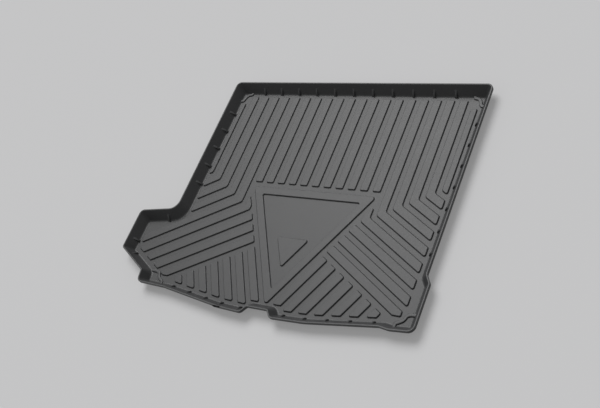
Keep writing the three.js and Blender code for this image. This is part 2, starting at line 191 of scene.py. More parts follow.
def ring(corners, push, plan, radius=None):
    """One loop. Sides move out by push. Unless it is given, the arc's radius is the corner's
    radius plus the push on an outer corner, minus it on an inner one. A point of an arc is its
    centre plus the radius times the outward direction turned by share times the turn."""
    place, share, distance = plan
    along, outward = side_axes(corners)
    at = corners[:, :2] + outward * push[:, None]
    along_before, out_before = np.roll(along, 1, axis=0), np.roll(outward, 1, axis=0)
    turn = corner_turns(corners)
    reach = cross(at - np.roll(at, 1, axis=0), along) / np.sin(turn)
    tip = np.roll(at, 1, axis=0) + along_before * reach[:, None]
    if radius is None:
        radius = corners[:, FOOT_RADIUS] + np.sign(turn) * (push + np.roll(push, 1)) / 2
    radius = np.maximum(radius, LEAST_CORNER)
    start = tip - along_before * (radius * np.tan(np.abs(turn) / 2))[:, None]
    centre = start - out_before * (np.sign(turn) * radius)[:, None]
    angle = turn[place] * share
    base = out_before[place]
    turned_out = np.stack([
        base[:, 0] * np.cos(angle) - base[:, 1] * np.sin(angle),
        base[:, 0] * np.sin(angle) + base[:, 1] * np.cos(angle),
    ], axis=1)
    arc = centre[place] + turned_out * (np.sign(turn) * radius)[place][:, None]
    beside = at[place] + along[place] * np.nan_to_num(distance)[:, None]
    on_side = np.isfinite(distance)[:, None]
    return np.where(on_side, beside, arc), np.where(on_side, outward[place], turned_out)


foot_loop, _ = ring(FOOT, np.zeros(len(FOOT)), foot_plan)
print("size of the foot", np.ptp(foot_loop, axis=0).round(1).tolist())

# %% [markdown]
# ### Steeper stretches
# Three short stretches of the wall stand steeper than the rest, and look darker for it: the
# front of the long ear, the right side of the cut-back at the latch, and the small step on the
# right. The foot of such a side moves outwards under a rim that stays where it is. New rows in
# the list would do as well, but then the rim's own line would be hard to keep.

# %% Steeper stretches
EAR_STEEPER = 5.0
CUT_BACK_STEEPER = 7.0
STEP_STEEPER = 6.0


def steepen(side, by):
    """Each end of the side slides along its neighbour until the side lies further out by the
    given distance. The lean loses as much, and webs keep their places on the walls."""
    along, outward = side_axes(FOOT)
    for corner, neighbour in ((side, side - 1), (side + 1, side + 1)):
        slide = along[neighbour] * by / (along[neighbour] @ outward[side])
        FOOT[corner, :2] += slide
        FOOT[corner, FIRST_WEB] -= slide @ along[corner]
    FOOT[side, LEAN] -= by


steepen(EAR_FRONT, EAR_STEEPER)
steepen(CUT_BACK_RIGHT, CUT_BACK_STEEPER)
steepen(SMALL_STEP, STEP_STEEPER)
print("leans there", FOOT[[EAR_FRONT, CUT_BACK_RIGHT, SMALL_STEP], LEAN].tolist())

# %% [markdown]
# ## Sections
# A section is the line that a saw cut through the rubber would show. Moulded rubber has no sharp
# edge, so its corners are rounded with quadratic Bezier curves: start, corner and end are three
# points, and the curve leaves along the first leg and arrives along the second. Arcs would look
# the same, but a Bezier needs no angle, and its direction gives exact normals.

# %% Rounded sections
def rounded(start, corner, end, steps):
    """Bezier: (1-t)^2 start + 2t(1-t) corner + t^2 end, with its direction at each point."""
    start, corner, end = (np.asarray(p, float) for p in (start, corner, end))
    t = np.linspace(0.0, 1.0, steps + 1)[:, None]
    point = (1 - t) ** 2 * start + 2 * t * (1 - t) * corner + t ** 2 * end
    return np.hstack([point, (1 - t) * (corner - start) + t * (end - corner)])


def straight(points, direction):
    """Points on a straight run, all with one direction."""
    points = np.atleast_2d(np.asarray(points, float))
    return np.hstack([points, np.tile(np.asarray(direction, float), (len(points), 1))])


print("halfway round a corner", rounded([0, 0], [1, 0], [1, 1], 2)[1, :2].tolist())

# %% [markdown]
# ### The wall's section
# The rim is a thick lip that turns down outside the wall, with a groove behind it. A row holds
# the share of the wall's lean, a distance beyond it, and a height. The rows start on the floor,
# climb the wall, go over the lip and down its skirt, up again behind the skirt, and come back
# below to the floor's underside. Solidify could give a thin wall its thickness, but not a lip.

# %% The wall's section
WALL_ACROSS = 4.0
LIP_WIDTH = 4.6
LIP_DROP = 11.0
LIP_SHEET = 2.6
FLOOR_EDGE = 5.5
FOOT_REACH = 5.0
FOOT_TOP = 4.0
UP_THE_WALL = (6, 8.5, 11, 13.5, 16, 18.5, 21, 22, 29)
RIM_DOWN, RIM_OVER = 1.5, 1.3
LIP_ROUND = 1.4
SKIRT_ROUND = 0.8
GROOVE_SIDE, GROOVE_ROOF, GROOVE_END = 6.2, 8.0, 6.0
OUTSIDE_MIDDLE, OUTSIDE_LOW = 16.0, 3.0
lip_low = RIM_TOP - LIP_DROP
lip_inner = LIP_WIDTH - LIP_SHEET


def on_wall(height, beyond):
    """A row on the wall: height over rise of its lean, a distance beyond, sheet plus height."""
    return [height / RISE, beyond, SHEET + height]


wall_rows = np.vstack([
    straight([0, -FLOOR_EDGE, SHEET], [0, 1, 0]),
    rounded([0, -FOOT_REACH, SHEET], [0, 0, SHEET], on_wall(FOOT_TOP, 0), 6),
    straight([on_wall(height, 0) for height in UP_THE_WALL], [1 / RISE, 0, 1]),
    rounded(on_wall(RISE - RIM_DOWN, 0), [1, 0, RIM_TOP], [1, RIM_OVER, RIM_TOP], 5),
    rounded([1, LIP_WIDTH - LIP_ROUND, RIM_TOP], [1, LIP_WIDTH, RIM_TOP],
            [1, LIP_WIDTH, RIM_TOP - LIP_ROUND], 5),
    rounded([1, LIP_WIDTH, lip_low + SKIRT_ROUND], [1, LIP_WIDTH, lip_low],
            [1, LIP_WIDTH - SKIRT_ROUND, lip_low], 3),
    rounded([1, lip_inner + SKIRT_ROUND, lip_low], [1, lip_inner, lip_low],
            [1, lip_inner, lip_low + SKIRT_ROUND], 3),
    rounded([1, lip_inner, lip_low + GROOVE_SIDE], [1, lip_inner, lip_low + GROOVE_ROOF],
            on_wall(RISE - GROOVE_END, WALL_ACROSS), 5),
    straight([on_wall(OUTSIDE_MIDDLE, WALL_ACROSS)], [-1 / RISE, 0, -1]),
    rounded(on_wall(OUTSIDE_LOW, WALL_ACROSS), on_wall(-SHEET, WALL_ACROSS),
            [0, -FOOT_REACH, 0], 7),
    straight([0, -FLOOR_EDGE, 0], [0, -1, 0]),
])
print("rows in the wall's section", len(wall_rows))

# %% [markdown]
# ## The mesh under construction
# The liner is one piece of rubber, so it is one closed skin here, and no part of it is only
# pushed into another, apart from the corner beads. One store collects points, normals and faces.
# A strip of loops adds quads, and a flat end adds one many-sided face. Loops are shared between
# neighbours, so the skin closes without a seam. Boolean modifiers could join separate solids,
# but they leave slivers along every fillet.

# %% The store
class Skin:
    """Points, normals, values for wear and painted highlight, and faces of one closed skin."""

    def __init__(self):
        """Starts with nothing."""
        self.points, self.normals, self.worn, self.faces = [], [], [], []
        self.count = 0

    def strip(self, points, normals, worn):
        """Loops stacked row by row; returns the index of every point, row by row."""
        rows, size = points.shape[:2]
        index = self.count + np.arange(rows * size).reshape(rows, size)
        self.points.append(points.reshape(-1, 3))
        self.normals.append(normals.reshape(-1, 3))
        self.worn.append(np.asarray(worn, float).reshape(-1))
        self.count += rows * size
        self.bridges(index)
        return index

    def bridges(self, index):
        """Quads between each row and the next, facing rowwards cross columnwards."""
        here, there = index[:-1], index[1:]
        quads = np.stack([here, there, np.roll(there, -1, 1), np.roll(here, -1, 1)], axis=-1)
        self.faces.extend(quads.reshape(-1, 4).tolist())

    def lid(self, loop, faces_up):
        """One flat face over a loop that runs anticlockwise, turned over to face down."""
        self.faces.append((loop if faces_up else loop[::-1]).tolist())


skin = Skin()
print("points so far", skin.count)

# %% [markdown]
# ### Floors with openings
# The floor is flat, and every rib stands in an opening of it. One many-sided face would do for
# a plain floor, but a face can't have openings, so a constrained Delaunay triangulation fills
# what is left between the loops.

# %% Floors with openings
INSIDE_EDGES = 1
NEXT_TO_NOTHING = 1e-9


def lay_floor(outer, holes, faces_up):
    """Triangles inside the outer loop, apart from those inside a hole. A triangle inside
    a loop that runs anticlockwise meets its points in rising order, one outside in falling
    order, so the order tells them apart."""
    loops = [outer, *holes]
    index = np.concatenate(loops)
    owner = np.concatenate([np.full(len(loop), i) for i, loop in enumerate(loops)])
    rank = np.concatenate([np.arange(len(loop)) for loop in loops])
    size = np.array([len(loop) for loop in loops])[owner]
    first = np.arange(len(index)) - rank
    edges = np.column_stack([first + rank, first + (rank + 1) % size])
    flat = np.concatenate(skin.points)[index][:, :2]
    made = delaunay_2d_cdt(flat.tolist(), edges.tolist(), [], INSIDE_EDGES, NEXT_TO_NOTHING)
    source = np.array(made[3])[:, 0]
    triangles = source[np.array(made[2])]
    a, b, c = (flat[triangles[:, k]] for k in range(3))
    clockwise = cross(b - a, c - a) < 0
    triangles[clockwise] = triangles[clockwise][:, ::-1]
    same = (owner[triangles] == owner[triangles[:, :1]]).all(axis=1) & (owner[triangles[:, 0]] > 0)
    order = rank[triangles]
    rising = np.sum(np.roll(order, -1, axis=1) > order, axis=1) == 2
    kept = index[triangles[~(same & rising)]]
    skin.faces.extend((kept if faces_up else kept[:, ::-1]).tolist())
    print("floor of", len(kept), "triangles with", len(holes), "openings")


# %% [markdown]
# ## Floor edge, wall and lip
# The wall is one grid: rows along its section, columns round its foot. Small webs stiffen the
# foot of the real wall. At each web the columns crowd together, and the rubber is lifted to a
# wedge that runs from the floor up the wall. A smooth step across the web rounds its flanks, so
# the web grows out of the wall as moulded. Separate wedges would leave a hard line round them.

# %% Wall columns
WEB_PITCH = 77.4
WEB_STEPS = np.array([0.0, 1.5, 2.9, 3.3, 3.7, 4.1, 4.5, 4.9, 5.6])
WEB_FLAT, WEB_HALF = WEB_STEPS[[2, 7]]

web_steps = np.concatenate([-WEB_STEPS[:0:-1], WEB_STEPS])
web_centres = [first + WEB_PITCH * np.arange(int(count))
               for first, count in FOOT[:, [FIRST_WEB, WEB_COUNT]]]
web_columns = [(centres[:, None] + web_steps).ravel() for centres in web_centres]
wall_plan = plan_samples(FOOT, WALL_DEGREES, web_columns)
across_web = np.full(len(wall_plan[0]), np.inf)
for side, centres in enumerate(web_centres):
    here = (wall_plan[0] == side) & np.isfinite(wall_plan[2])
    if len(centres):
        across_web[here] = np.abs(wall_plan[2][here][:, None] - centres).min(axis=1)
print("columns round the wall", len(across_web))


# %% Normals
def section_normals(tangent_out, tangent_up, outward):
    """A surface's normal in the section is its direction turned left: minus up, plus out."""
    length = np.hypot(tangent_out, tangent_up)
    flat = outward * (-tangent_up / length)[..., None]
    return np.concatenate([flat, (tangent_out / length)[..., None]], axis=-1)


def measured_normals(grid):
    """The step from row to row crossed with the step from column to column."""
    by_row = np.gradient(grid, axis=0)
    by_column = np.roll(grid, -1, axis=1) - np.roll(grid, 1, axis=1)
    normal = np.cross(by_row, by_column)
    return normal / np.maximum(np.linalg.norm(normal, axis=-1, keepdims=True), NEXT_TO_NOTHING)


print("a wall's normal", section_normals(WALL_RUN, RISE, np.array([1.0, 0.0])).round(3).tolist())

# %% Webs
WEB_INNER = 5.4
WEB_OUTER = 14.0
WEB_RISE = 21.0
WEB_BULGE = 0.62


def smooth_step(x):
    """3x^2 - 2x^3 from 0 to 1, level at both ends."""
    x = np.clip(x, 0.0, 1.0)
    return x * x * (3 - 2 * x)


def web_lift(out, height, top_side):
    """The wedge's height above the rubber, times a smooth step across the web. The wedge rises
    as a power of the way from its inner end to its outer end, so its back bulges."""
    reach = np.clip((out + WEB_INNER) / (WEB_INNER + WEB_OUTER), 0.0, 1.0)
    wedge = SHEET + WEB_RISE * reach ** WEB_BULGE
    profile = np.maximum(0.0, wedge - height) * (out < WEB_OUTER) * (out > -WEB_INNER)
    return profile * top_side * smooth_step((WEB_HALF - across_web) / (WEB_HALF - WEB_FLAT))


print("a web is", WEB_INNER + WEB_OUTER, "long and", 2 * WEB_HALF, "wide")


# %% Wall grid
def wall_grid(rows):
    """Point = ring at share times lean plus beyond, at the row's height plus the web's lift."""
    run = FOOT[:, LEAN]
    place = wall_plan[0]
    size = len(place)
    bend = np.sign(corner_turns(FOOT))
    widening = FOOT[:, RIM_RADIUS] - FOOT[:, FOOT_RADIUS]
    radius = [FOOT[:, FOOT_RADIUS] + widening * row[0] + bend * row[1] for row in rows]
    before = np.roll(run, 1)
    lean = run[place] * 0.5 + 0.5 * np.where(np.isfinite(wall_plan[2]), run[place], before[place])
    points, outward = zip(*(ring(FOOT, row[0] * run + row[1], wall_plan, rounding)
                            for row, rounding in zip(rows, radius)))
    height = np.repeat(rows[:, 2][:, None], size, axis=1)
    out = rows[:, 0][:, None] * lean + rows[:, 1][:, None]
    normals = section_normals(rows[:, 3][:, None] * lean + rows[:, 4][:, None],
                              np.repeat(rows[:, 5][:, None], size, axis=1), np.array(outward))
    top_side = (np.arange(len(rows)) < np.argmax(rows[:, 2]))[:, None]
    lift = web_lift(out / (lean / WALL_RUN), height, top_side)
    grid = np.concatenate([np.array(points), (height + lift)[..., None]], axis=-1)
    near = lift > 0
    near = near | np.roll(near, 1, 1) | np.roll(near, -1, 1)
    near[1:] |= near[:-1]
    normals = np.where(near[..., None], measured_normals(grid), normals)
    normals[0], normals[-1] = (0, 0, 1), (0, 0, -1)
    return grid, normals, lift


# %% Wear and painted highlight on the wall
# The rim's top and the webs are painted paler, partly as wear and partly as a painted highlight.
RIM_WEAR_AND_HIGHLIGHT, RIM_WEAR_AND_HIGHLIGHT_REACH = 0.9, 1.6
WEB_WEAR_AND_HIGHLIGHT, WEB_WEAR_AND_HIGHLIGHT_LIFT = 0.35, 4.0

grid, normals, lift = wall_grid(wall_rows)
rim_worn = RIM_WEAR_AND_HIGHLIGHT * np.exp(-((wall_rows[:, 2] - RIM_TOP) / RIM_WEAR_AND_HIGHLIGHT_REACH) ** 2)
web_worn = WEB_WEAR_AND_HIGHLIGHT * np.clip(lift / WEB_WEAR_AND_HIGHLIGHT_LIFT, 0, 1)
wall_index = skin.strip(grid, normals, np.maximum(rim_worn[:, None], web_worn))
print("wall", grid.shape)

# %% [markdown]
# ## The tread's outlines
# The tread keeps the load from sliding. Its ribs are strips of one width at one pitch. Behind
# the frame they run straight back. At the sides they bend off along a slant of 30 degrees,
# beside the frame they only slant, and in front they fan out along the frame's sides. Long
# strips are laid out first and cut back by lines, because every rib then follows from its number.
# Each rib drawn by hand would be a long list of corners.

# %% Sizes of the tread
RIB_RISE = 4.5
RIB_WIDTH = 28.0
RIB_PITCH = 46.9
RIB_GAP = RIB_PITCH - RIB_WIDTH
RIB_CORNER = 5.0
BEND_CORNER = 12.0
AXIS_X = 1.0
SLANT = np.radians(30.0)
FRAME_BACK = 37.0
FRAME_BAR = 28.0
FRAME_SIDE = 193.0
FRAME_OUT = FRAME_SIDE - AXIS_X * np.cos(SLANT)
FIRST_INNER = FRAME_OUT + RIB_GAP
FIRST_RIGHT = 249.5
FIRST_UPON = 61.9
across = np.array([np.cos(SLANT), -np.sin(SLANT)])
upon = np.array([np.sin(SLANT), np.cos(SLANT)])
print("a rib is", RIB_WIDTH, "wide and the next one is", RIB_GAP, "away")


# %% Points on the slant
def meet(s, t):
    """The point s across the slant and t upon it, from the axis."""
    return np.array([AXIS_X, 0.0]) + across * s + upon * t


def on_upon(x, t):
    """The point at x whose distance upon the slant is t: y = (t - x upon's x) / upon's y."""
    return np.array([x, (t - (x - AXIS_X) * upon[0]) / upon[1]])


print("first bend on the right", on_upon(FIRST_RIGHT, FIRST_UPON).round(1).tolist())

# %% Cutting and rounding outlines
ARC_ROOM = 0.42


def cut_back(points, plane):
    """Keeps what lies on the inner side of a line, given as its inward normal and least reach.
    The third number of a point is its corner radius, which new corners get anew."""
    inward, least = plane
    depth = points[:, :2] @ inward - least
    kept = []
    for here, there, a, b in zip(depth, np.roll(depth, -1), points, np.roll(points, -1, axis=0)):
        if here >= 0:
            kept.append(a)
        if here * there < 0:
            kept.append(np.append((a + (b - a) * here / (here - there))[:2], RIB_CORNER))
    return np.array(kept)


def soften(points):
    """Corner radii, smaller where a short side leaves no room for the arc."""
    lengths = np.linalg.norm(np.roll(points[:, :2], -1, axis=0) - points[:, :2], axis=1)
    shortest = np.minimum(lengths, np.roll(lengths, 1))
    room = ARC_ROOM * shortest / np.tan(np.abs(corner_turns(points)) / 2)
    return np.column_stack([points[:, :2], np.minimum(points[:, 2], room)])


# %% Outlines and the lines that cut them
def outline(*points):
    """Corners in a row, each with the usual radius unless it brings its own."""
    return np.array([np.append(p, RIB_CORNER) if len(p) == 2 else p for p in points], float)


def mirrored(points):
    """x becomes twice the axis minus x, and the order turns round to stay anticlockwise."""
    return (points * [-1, 1, 1] + [2 * AXIS_X, 0, 0])[::-1]


def left_of(a, b, margin):
    """The side to the left of the line from a to b, a margin away from it."""
    along = (b - a)[:2] / np.linalg.norm((b - a)[:2])
    inward = np.array([-along[1], along[0]])
    return inward, inward @ a[:2] + margin


def half_plane(x=0.0, y=0.0, least=0.0):
    """Where x times the point's x plus y times its y is at least a given number."""
    return np.array([x, y]), least


print("the mirror image of x = 101 is x =", mirrored(outline((101, 0)))[0, 0])

# %% [markdown]
# ### Four kinds of rib
# The straight ribs are numbered from right to left and need no cutting. The other three kinds
# are laid out beyond their true ends on the right of the axis, numbered from the frame outwards
# or forwards, and each has its mirror image on the left.

# %% Four kinds of rib
BEYOND_X, BEYOND_ACROSS, BEYOND_FRONT = 900.0, 1100.0, -700.0
FIELD_BACK = 418.0
SLANT_RIBS = 3


def straight_rib(index):
    """A strip straight back, index pitches to the left of the first one on the right."""
    edge, front = FIRST_RIGHT - RIB_PITCH * index, FRAME_BACK + RIB_GAP
    return outline((edge - RIB_WIDTH, front), (edge, front),
                   (edge, FIELD_BACK), (edge - RIB_WIDTH, FIELD_BACK))


def bent_rib(index, back_end):
    """A straight strip that bends off along the slant, index pitches further out."""
    edge = FIRST_RIGHT + RIB_PITCH * index
    low = FIRST_UPON + RIB_PITCH * index
    bends = [np.append(on_upon(edge - RIB_WIDTH, low), BEND_CORNER),
             np.append(on_upon(edge, low + RIB_WIDTH), BEND_CORNER)]
    return outline((edge - RIB_WIDTH, back_end), bends[0], on_upon(BEYOND_X, low),
                   on_upon(BEYOND_X, low + RIB_WIDTH), bends[1], (edge, back_end))


def slant_rib(index):
    """A strip across the slant from the frame's side, index pitches upon it."""
    low = FIRST_UPON + RIB_PITCH * index
    return outline(meet(FIRST_INNER, low), meet(BEYOND_ACROSS, low),
                   meet(BEYOND_ACROSS, low + RIB_WIDTH), meet(FIRST_INNER, low + RIB_WIDTH))


def fan_rib(index):
    """A strip upon the slant to the front, index pitches out from the frame's side."""
    edge = FRAME_OUT + RIB_PITCH * index
    end = FIRST_UPON - SLANT_RIBS * RIB_PITCH - RIB_GAP
    return outline(meet(edge - RIB_WIDTH, BEYOND_FRONT), meet(edge, BEYOND_FRONT),
                   meet(edge, end), meet(edge - RIB_WIDTH, end))


print("a straight rib is", np.ptp(straight_rib(0)[:, 1]).round(1), "long")

# %% Where the ribs end
FIELD_RIGHT, FIELD_LEFT = 477.0, -470.0
SHORT_BACK = 386.0
LAST_RIGHT, LAST_FRONT = 467.0, -344.0
EDGE_MARGIN, LATCH_MARGIN = 15.0, 8.0

right_end = half_plane(x=-1, least=-FIELD_RIGHT)
left_end = half_plane(x=1, least=FIELD_LEFT)
last_ends = [half_plane(x=-1, least=-LAST_RIGHT), half_plane(y=1, least=LAST_FRONT)]
ear_ends = [half_plane(x=1, least=FOOT[EAR_END, 0] + EDGE_MARGIN),
            left_of(FOOT[EAR_FRONT], FOOT[EAR_FRONT + 1], EDGE_MARGIN + EAR_STEEPER)]
front_ends = [left_of(FOOT[side], FOOT[side + 1], EDGE_MARGIN) for side in FRONT_SIDES]
latch_end = half_plane(y=1, least=FOOT[CUT_BACK, 1] + LATCH_MARGIN)
beside_frame = (across, meet(FIRST_INNER, 0) @ across)
print("the field of ribs is", FIELD_RIGHT - FIELD_LEFT, "wide")

# %% All ribs
STRAIGHT_RIBS = 11
BENT_RIBS = 6
FAN_RIBS = 7
ribs = []


def tread(points, *planes):
    """Cuts an outline back by each line in turn, rounds it and keeps it as a rib."""
    for plane in planes:
        points = cut_back(points, plane)
    ribs.append(soften(points))


for index in range(STRAIGHT_RIBS):
    tread(straight_rib(index))
for index in range(BENT_RIBS):
    shape = bent_rib(index, SHORT_BACK if index == BENT_RIBS - 1 else FIELD_BACK)
    shape = shape if index else cut_back(shape, beside_frame)
    tread(shape, right_end)
    tread(mirrored(shape), *([left_end] if index > 1 else ear_ends))
for index in range(-1, -SLANT_RIBS - 1, -1):
    shape, last = slant_rib(index), index == -SLANT_RIBS
    tread(shape, *(last_ends if last else [right_end]))
    tread(mirrored(shape), *([ear_ends[1], last_ends[1]] if last else ear_ends))
for index in range(1, FAN_RIBS + 1):
    ends = front_ends + [latch_end] * (index == 1)
    tread(fan_rib(index), *ends)
    tread(mirrored(fan_rib(index)), *ends)
print("ribs", len(ribs))

# %% [markdown]
# ### The frame and its plate
# The frame is an equal-sided triangle on the tread's axis with its level side at the back. Two
# outlines bound its bar. A small plate of the same shape stands inside, near the front tip. A
# cone with three sides could be flattened into such a triangle, but two distances say it best.

# %% Triangles
FRAME_CORNER, FRAME_INNER_CORNER = 9.0, 4.5
PLATE_BACK, PLATE_OUT, PLATE_CORNER = -143.0, 125.0, 6.0


def triangle(back_side, side, radius):
    """Its back lies at back_side, and its other sides lie a given distance across the slant."""
    half = (side - back_side * across[1]) / across[0]
    tip = -side / upon[0]
    return outline((AXIS_X - half, back_side, radius), (AXIS_X, tip, radius),
                   (AXIS_X + half, back_side, radius))


frame_outside = triangle(FRAME_BACK, FRAME_OUT, FRAME_CORNER)
frame_inside = triangle(FRAME_BACK - FRAME_BAR, FRAME_OUT - FRAME_BAR, FRAME_INNER_CORNER)
plate = triangle(PLATE_BACK, PLATE_OUT, PLATE_CORNER)
print("the frame's back is", round(float(np.ptp(frame_outside[:, 0])), 1), "long")

# %% [markdown]
# ## Raised forms and the hollows below them
# A rib's side slopes, its upper edge is rounded by about a millimetre, and its foot runs into
# the floor with a small fillet. Below, the same outline set inwards makes the hollow, because a
# moulded sheet keeps one thickness. Distances are from the outline at the rib's middle height.
# A Bevel modifier would round the edges too, but not the fillet at the foot.

# %% Sections of ribs and hollows
RIB_TOP = SHEET + RIB_RISE
RIB_MIDDLE = SHEET + RIB_RISE / 2
RIB_SLOPE = 2.0
HOLLOW_INSET = 3.28


def slope(z):
    """How far a rib's side is outside its outline at height z: nothing at the middle height."""
    return (RIB_MIDDLE - z) * RIB_SLOPE / RIB_RISE


def down_side(edge=1.3, foot=1.3):
    """From the flat top over the edge, down the side and out onto the floor."""
    return np.vstack([
        rounded([slope(RIB_TOP) - edge, RIB_TOP], [slope(RIB_TOP), RIB_TOP],
                [slope(RIB_TOP - edge), RIB_TOP - edge], 4),
        rounded([slope(SHEET + foot), SHEET + foot], [slope(SHEET), SHEET],
                [slope(SHEET) + foot, SHEET], 4),
    ])


def into_hollow(edge=0.9, ceiling=1.2):
    """From the underside over the edge, up the hollow's side and in onto its ceiling."""
    high = RIB_TOP - SHEET
    return np.vstack([
        rounded([slope(0) - HOLLOW_INSET + edge, 0.0], [slope(0) - HOLLOW_INSET, 0.0],
                [slope(edge) - HOLLOW_INSET, edge], 3),
        rounded([slope(high - ceiling) - HOLLOW_INSET, high - ceiling],
                [slope(high) - HOLLOW_INSET, high],
                [slope(high) - HOLLOW_INSET - ceiling, high], 3),
    ])


side_rows, hollow_rows = down_side(), into_hollow()
print("rows down a rib's side", len(side_rows), "and into its hollow", len(hollow_rows))

# %% Stacks of loops
STACK_DEGREES = 11.0


def reversed_rows(rows):
    """The same section read the other way and mirrored, for a loop round an opening."""
    return rows[::-1] * [1, 1, -1, -1] * [-1, 1, -1, 1]


def stack(corners, rows, worn):
    """Loops of one outline at the section's distances and heights, joined by quads."""
    plan = plan_samples(corners, STACK_DEGREES)
    rings, outward = zip(*(ring(corners, np.full(len(corners), row[0]), plan) for row in rows))
    size = len(plan[0])
    height = np.repeat(rows[:, 1][:, None], size, axis=1)
    points = np.concatenate([np.array(rings), height[..., None]], axis=-1)
    normal = section_normals(np.repeat(rows[:, 2][:, None], size, axis=1),
                             np.repeat(rows[:, 3][:, None], size, axis=1), np.array(outward))
    return skin.strip(points, normal, np.repeat(worn[:, None], size, axis=1))


# %% Ribs, plate and frame
# A rib's rounded top edge is painted paler, partly as wear and partly as a painted highlight.
SIDE_WEAR_AND_HIGHLIGHT = np.array([0.35, 0.8, 1.0, 0.8, 0.45, 0.0, 0.0, 0.0, 0.0, 0.0])
HOLLOW_WEAR_AND_HIGHLIGHT = np.zeros(len(hollow_rows))


def raise_rib(shape):
    """A solid top and a hollow below it; returns the loops that the two floors leave open."""
    body = stack(shape, side_rows, SIDE_WEAR_AND_HIGHLIGHT)
    skin.lid(body[0], True)
    hollow = stack(shape, hollow_rows, HOLLOW_WEAR_AND_HIGHLIGHT)
    skin.lid(hollow[-1], False)
    return body[-1], hollow[0]


floor_holes, under_holes = zip(*(raise_rib(shape) for shape in ribs))
plate_hole, plate_under = raise_rib(plate)
outside_body = stack(frame_outside, side_rows, SIDE_WEAR_AND_HIGHLIGHT)
inside_body = stack(frame_inside, reversed_rows(side_rows), SIDE_WEAR_AND_HIGHLIGHT[::-1])
skin.bridges(np.stack([inside_body[-1], outside_body[0]]))
outside_hollow = stack(frame_outside, hollow_rows, HOLLOW_WEAR_AND_HIGHLIGHT)
island = stack(frame_inside, reversed_rows(hollow_rows), HOLLOW_WEAR_AND_HIGHLIGHT)
skin.bridges(np.stack([outside_hollow[-1], island[0]]))
print("points so far", skin.count)

# %% [markdown]
# ## Floors
# The floor's upper face is what remains between the wall and all the ribs, and the panel inside
# the frame is a floor of its own. The underside has the same two faces, facing down. They come
# after the ribs because they use the ribs' last loops, which closes the skin.

# %% Floors
lay_floor(wall_index[0], [*floor_holes, outside_body[-1]], True)
lay_floor(inside_body[0], [plate_hole], True)
lay_floor(wall_index[-1], [*under_holes, outside_hollow[0]], False)
lay_floor(island[-1], [plate_under], False)

# %% [markdown]
# ## Corner beads
# A raised bead cuts off each corner of the floor. It is a rounded profile carried along a soft
# path whose two ends run into the foot of the wall. A curve object with a bevel would give a
# round bar, while this bead has a flat top. Its edge is sunk a little below the floor's face.

# %% The path of a bead
BACK_BEAD = np.array([[9, -36], [-8, -34], [-12, -17], [-22, -5], [-36, -5], [-37, 9]], float)
FRONT_BEAD = np.array([
    [-58, -9], [-58, 5], [-46, 11], [-34, 19], [-30, 33], [-18, 39], [9, 40]], float)


def soft_path(points, rounds=4):
    """Corner cutting: each leg keeps its points at a quarter and three quarters."""
    for _ in range(rounds):
        low = points[:-1] * 0.75 + points[1:] * 0.25
        high = points[:-1] * 0.25 + points[1:] * 0.75
        middle = np.stack([low, high], axis=1).reshape(-1, 2)
        points = np.vstack([points[:1], middle[1:-1], points[-1:]])
    return points


print("points along a back bead", len(soft_path(BACK_BEAD)))

# %% Beads
BEAD_HALF = 5.6
BEAD_TOP = 7.0
BEAD_SUNK = 0.1
BEAD_BOTTOM = 2.6
BEAD_ROOT = 2.2
BEAD_POINTS = 19
# The top of a bead is painted paler, partly as wear and partly as a painted highlight.
BEAD_WEAR_AND_HIGHLIGHT = 0.4
FRONT_RIGHT_SHIFT = np.array([5.0, 0.0])


def bead(corner, steps, hand, shift=0.0):
    """Point = path + side times half width times a squared circle, so the hump has a flat top
    and steep sides. What lies too far beyond the foot of a wall is moved back onto its line."""
    path = soft_path(steps) * [hand, 1] + FOOT[corner, :2] + shift
    along = np.gradient(path, axis=0)
    along /= np.linalg.norm(along, axis=1, keepdims=True)
    side = np.stack([along[:, 1], -along[:, 0]], axis=1)
    angle = np.linspace(0.0, np.pi, BEAD_POINTS)
    low = SHEET - BEAD_SUNK
    wide = np.sign(np.cos(angle)) * np.sqrt(np.abs(np.cos(angle))) * BEAD_HALF
    wide = np.append(wide, [-BEAD_HALF, BEAD_HALF])
    high = np.append(low + (BEAD_TOP - low) * np.sqrt(np.sin(angle)), [BEAD_BOTTOM, BEAD_BOTTOM])
    flat = path[:, None, :] + side[:, None, :] * wide[None, :, None]
    _, outward = side_axes(FOOT)
    for wall in (corner - 1, corner):
        beyond = (flat - FOOT[wall, :2]) @ outward[wall] - BEAD_ROOT
        flat = flat - np.maximum(beyond, 0.0)[..., None] * outward[wall]
    points = np.concatenate([flat, np.repeat(high[None, :], len(path), axis=0)[..., None]], axis=-1)
    worn = np.append(np.sin(angle) ** 4 * BEAD_WEAR_AND_HIGHLIGHT, [0, 0])
    index = skin.strip(points, measured_normals(points), np.repeat(worn[None, :], len(path), axis=0))
    skin.lid(index[0], True)
    skin.lid(index[-1], False)


bead(BACK_RIGHT, BACK_BEAD, 1)
bead(BACK_LEFT, BACK_BEAD, -1)
bead(FRONT_RIGHT, FRONT_BEAD, 1, FRONT_RIGHT_SHIFT)
bead(FRONT_LEFT, FRONT_BEAD, -1)
print("points in all", skin.count)

# %% [markdown]
# ## The liner as a Blender mesh
# The stored arrays become one mesh, centred on the frame and in metres. The exact normals go
# in as custom normals, so flats stay flat to the eye right up to each small fillet. Smooth
# shading alone would bend the light across the wide flat tops. The values for wear and painted
# highlight on edges go in as an attribute for the finish.

# %% Make the mesh
MM_IN_A_METRE = 1000.0

